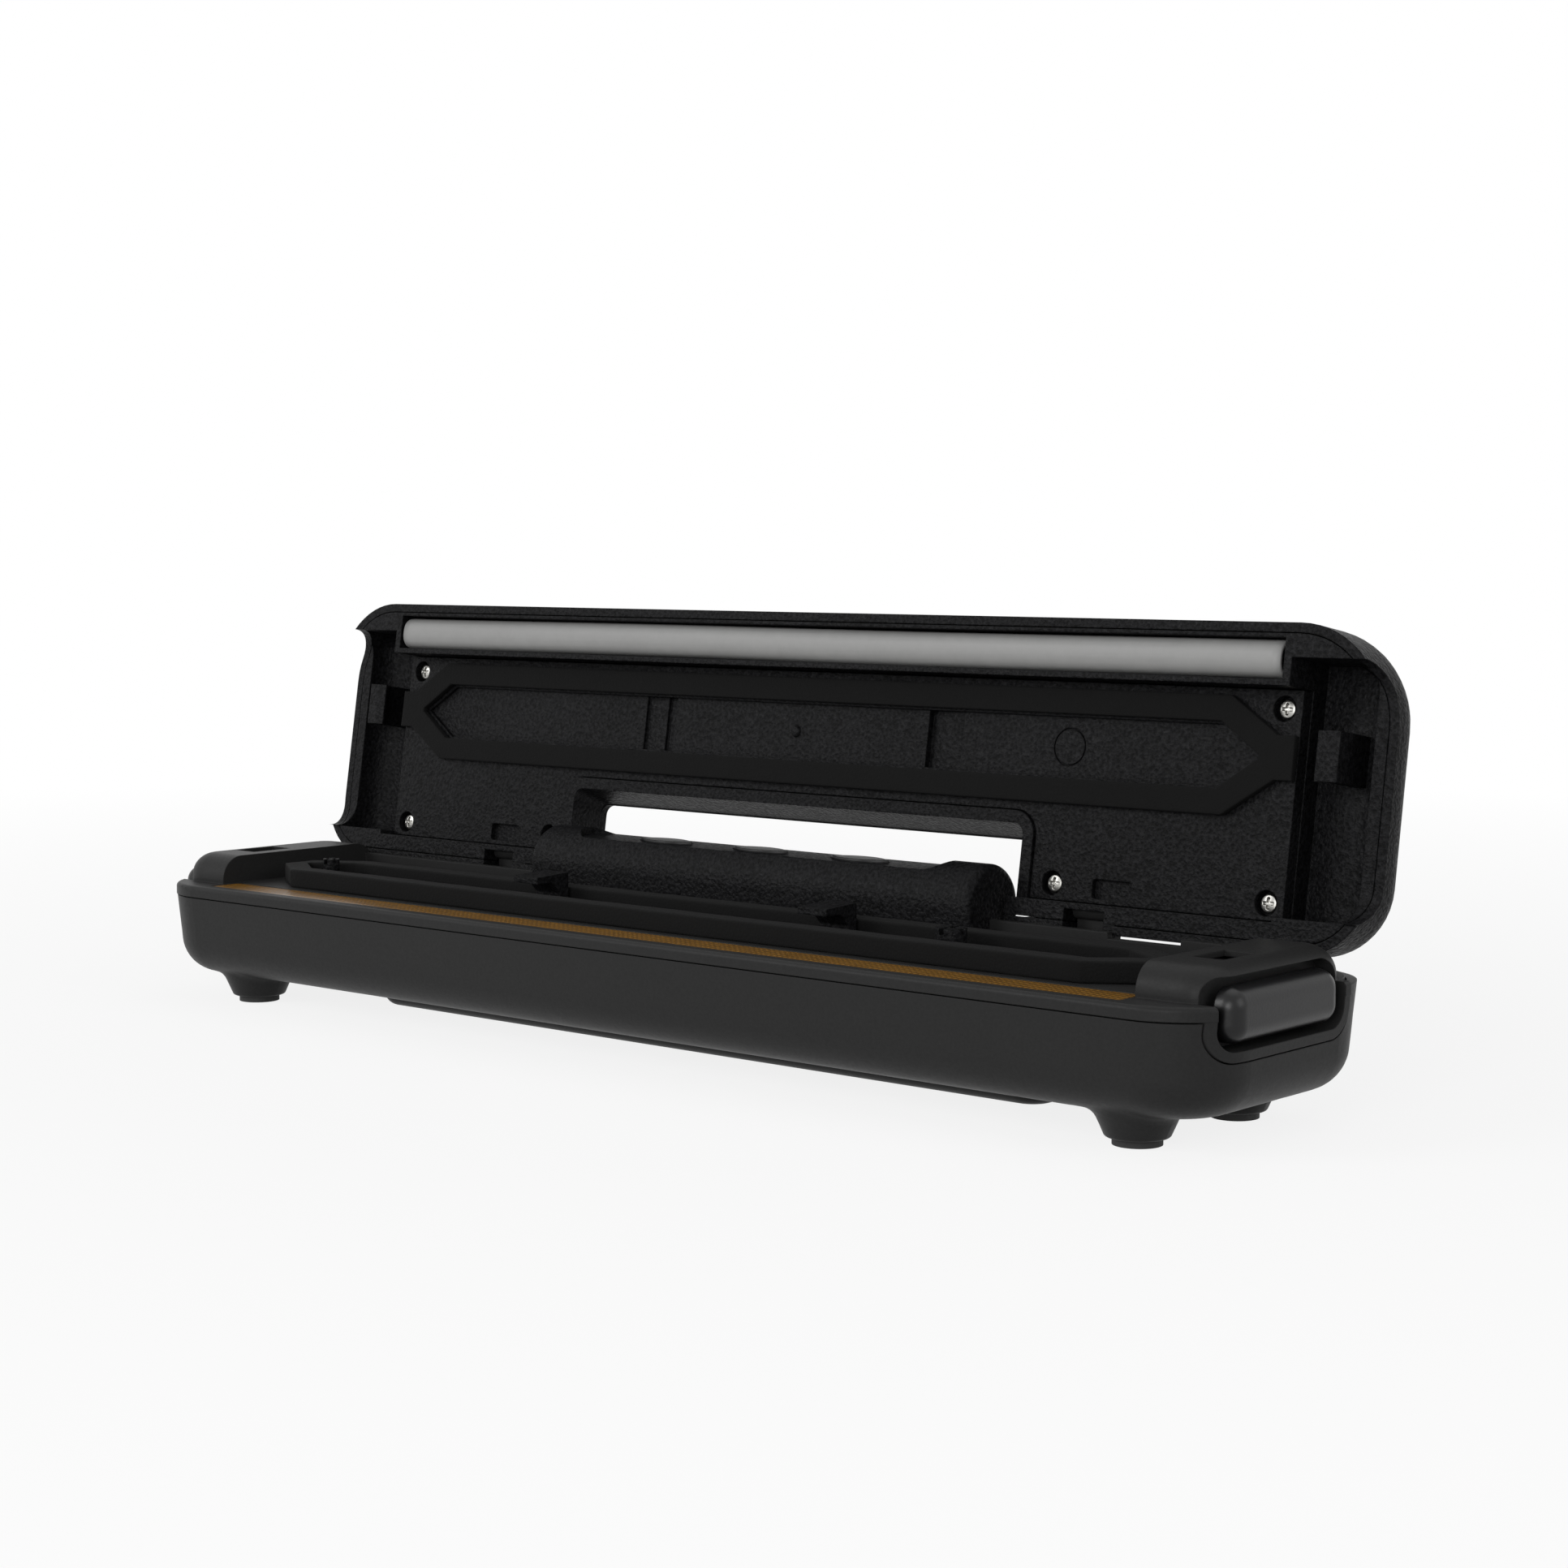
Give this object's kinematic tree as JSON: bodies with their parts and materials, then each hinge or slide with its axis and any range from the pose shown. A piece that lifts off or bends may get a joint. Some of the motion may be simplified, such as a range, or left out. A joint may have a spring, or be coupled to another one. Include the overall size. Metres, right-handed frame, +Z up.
{
  "type": "vacuum sealer",
  "caption": "Low, long kitchen vacuum sealer with a hinged lid standing open, a heated sealing bar, foam gaskets round the vacuum channel, a row of keys and latch buttons at the ends.",
  "frame": {"origin": "middle of the open object's bounding box, on the table", "axes": "+X along the length towards the nozzle end, +Y towards the rear, +Z up"},
  "size_m": [0.375, 0.0982, 0.1178],
  "materials": {
    "black_abs": "fine spark-eroded grain",
    "satin_abs": "satin",
    "screw_steel": "bright zinc",
    "foot_rubber": "matte",
    "foam_rubber": "closed-cell foam",
    "grey_silicone": "extruded, dull",
    "amber_glass_cloth": "coated glass cloth",
    "heat_board": "pressed mica board",
    "heating_alloy": "rolled",
    "pump_plastic": "moulded",
    "motor_steel": "plated",
    "circuit_board": "solder mask"
  },
  "bodies": {
    "base": {"lower_casing": "black_abs", "upper_casing": "black_abs", "bottom_cover": "black_abs", "cover_screws": "screw_steel", "foot_pads": "foot_rubber", "control_housing": "black_abs", "control_board": "circuit_board", "element_bed": "heat_board", "heating_element": "heating_alloy", "seal_tape": "amber_glass_cloth", "lower_gasket": "foam_rubber", "channel_tray": "black_abs", "vacuum_port": "black_abs", "sensor_port": "black_abs", "vacuum_hose": "grey_silicone", "pump_head": "pump_plastic", "pump_motor": "motor_steel", "transformer": "motor_steel", "power_board": "circuit_board", "lid_switch": "black_abs", "cord_gland": "foot_rubber"},
    "lid": {"lid_outer_cover": "black_abs", "lid_inner_frame": "black_abs", "lid_inner_plate": "black_abs", "upper_gasket": "foam_rubber", "pressure_strip": "grey_silicone", "latch_hook_left": "black_abs", "latch_hook_right": "black_abs", "lid_screws": "screw_steel", "hinge_pins": "screw_steel"},
    "release_left": {"side_button_left": "satin_abs", "latch_slider_left": "black_abs"},
    "release_right": {"side_button_right": "satin_abs", "latch_slider_right": "black_abs"},
    "key_left": {"key_left": "satin_abs"},
    "key_middle": {"key_middle": "satin_abs"},
    "key_right": {"key_right": "satin_abs"}
  },
  "joints": [
    {"name": "lid_hinge", "type": "hinge", "parent": "base", "child": "lid", "pos_m": [0, 0.02515, 0.0433], "axis": [1, 0, 0], "range_deg": [0, 99.1]},
    {"name": "release_left_push", "type": "slide", "parent": "base", "child": "release_left", "axis": [1, 0, 0], "range_m": [0, 0.002], "stiffness_N_per_m": 300, "springref_m": -0.001},
    {"name": "release_right_push", "type": "slide", "parent": "base", "child": "release_right", "axis": [-1, 0, 0], "range_m": [0, 0.002], "stiffness_N_per_m": 300, "springref_m": -0.001},
    {"name": "key_left_press", "type": "slide", "parent": "base", "child": "key_left", "axis": [0, 0, -1], "range_m": [0, 0.0006], "stiffness_N_per_m": 150, "springref_m": -0.0005},
    {"name": "key_middle_press", "type": "slide", "parent": "base", "child": "key_middle", "axis": [0, 0, -1], "range_m": [0, 0.0006], "stiffness_N_per_m": 150, "springref_m": -0.0005},
    {"name": "key_right_press", "type": "slide", "parent": "base", "child": "key_right", "axis": [0, 0, -1], "range_m": [0, 0.0006], "stiffness_N_per_m": 150, "springref_m": -0.0005}
  ]
}
